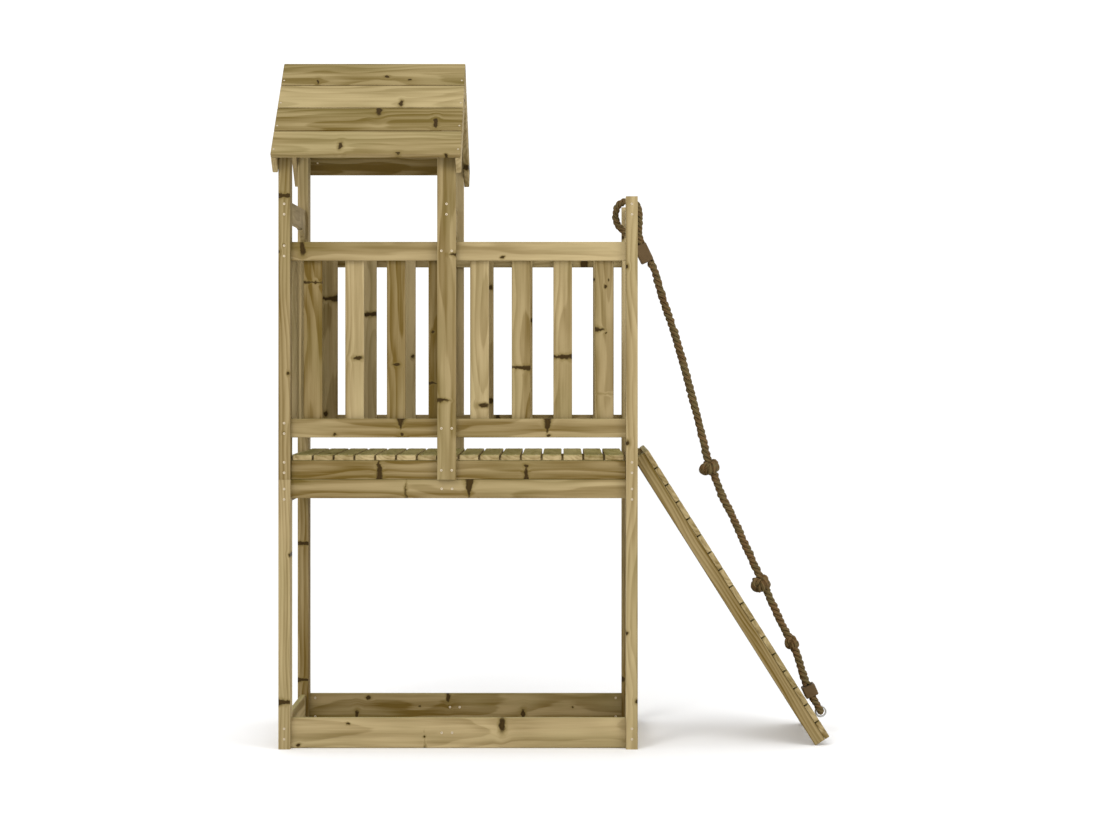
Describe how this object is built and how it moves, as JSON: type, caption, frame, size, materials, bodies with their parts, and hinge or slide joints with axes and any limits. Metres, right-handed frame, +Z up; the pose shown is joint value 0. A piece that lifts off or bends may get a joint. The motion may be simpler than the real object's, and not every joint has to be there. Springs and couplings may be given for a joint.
{
  "type": "wooden playhouse tower with climbing wall",
  "caption": "Narrow wooden play tower: raised deck with paled guard, gabled roof over one half, sandbox below, and a leaning plank climbing wall with a knotted rope.",
  "frame": {"origin": "on the ground, under the middle of the box round the timber and the eye bolt", "axes": "+Z up; +X from the roofed end towards the climbing wall; -Y towards the viewer of the front"},
  "size_m": [1.7358, 0.638, 2.1441],
  "materials": {
    "timber": "planed, pressure-impregnated pine, greenish tan, matt",
    "rope": "brown three-strand twisted rope, matt",
    "sleeve_plastic": "brown moulded plastic, satin",
    "eye_steel": "zinc-plated steel wire"
  },
  "bodies": {
    "root": {"climbing_rope": "rope", "climbing_wall": "timber", "deck": "timber", "eye_bolt": "eye_steel", "front_beam_cleat": "timber", "front_bottom_rail": "timber", "front_left_lower_post": "timber", "front_left_upper_post": "timber", "front_lower_beam": "timber", "front_mid_post": "timber", "front_mid_rafter": "timber", "front_pale_1": "timber", "front_pale_2": "timber", "front_pale_3": "timber", "front_pale_4": "timber", "front_pale_5": "timber", "front_pale_6": "timber", "front_pale_7": "timber", "front_pale_8": "timber", "front_right_post": "timber", "front_roof_slope": "timber", "front_sandbox_board": "timber", "front_top_rail": "timber", "left_arched_header": "timber", "left_guard_panel": "timber", "left_lower_deck_board": "timber", "left_sandbox_board": "timber", "left_top_rail": "timber", "left_upper_deck_board": "timber", "mid_arched_header": "timber", "rear_beam_cleat": "timber", "rear_bottom_rail": "timber", "rear_left_lower_post": "timber", "rear_left_upper_post": "timber", "rear_lower_beam": "timber", "rear_mid_post": "timber", "rear_mid_rafter": "timber", "rear_pale_1": "timber", "rear_pale_2": "timber", "rear_pale_3": "timber", "rear_pale_4": "timber", "rear_pale_5": "timber", "rear_pale_6": "timber", "rear_pale_7": "timber", "rear_pale_8": "timber", "rear_right_post": "timber", "rear_roof_slope": "timber", "rear_sandbox_board": "timber", "rear_top_rail": "timber", "right_lower_deck_board": "timber", "right_sandbox_board": "timber", "right_upper_deck_board": "timber", "rope_bar": "timber", "rope_end_loop": "rope", "rope_knot_1": "rope", "rope_knot_2": "rope", "rope_knot_3": "rope", "rope_sleeve_lower": "sleeve_plastic", "rope_sleeve_upper": "sleeve_plastic", "rope_top_loop": "rope"}
  },
  "joints": []
}
